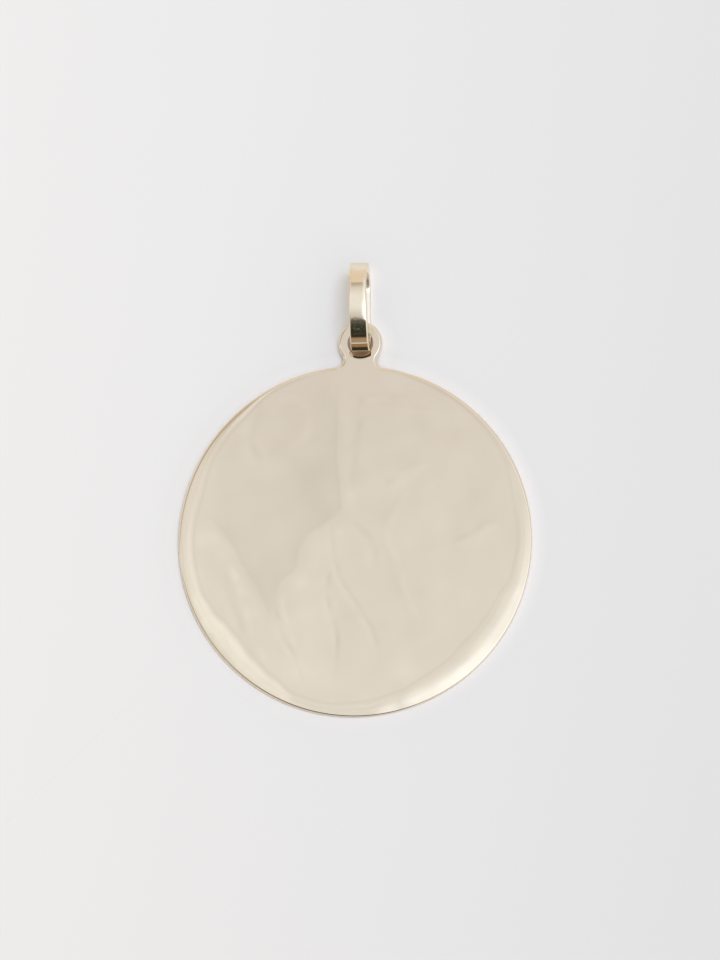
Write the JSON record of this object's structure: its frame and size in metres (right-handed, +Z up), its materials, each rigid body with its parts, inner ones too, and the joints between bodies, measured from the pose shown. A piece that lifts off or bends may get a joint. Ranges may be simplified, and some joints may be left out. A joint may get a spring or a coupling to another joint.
{
  "type": "disc pendant",
  "caption": "Plain polished round plate pendant with a ring ear on its rim and a closed strip bail for a chain, lying face up.",
  "frame": {"origin": "middle of the pendant's bounding box, on the surface that it lies on", "axes": "+Y along the pendant's length towards the bail, +X across the plate, +Z up out of the polished face"},
  "size_m": [0.035, 0.045, 0.0052],
  "materials": {
    "gold_plate": "mirror polished pale yellow gold, with soft undulations and fine hairlines",
    "gold_bail": "polished pale yellow gold strip with eased edges"
  },
  "bodies": {
    "root": {"disc": "gold_plate", "bail": "gold_bail"}
  },
  "joints": []
}
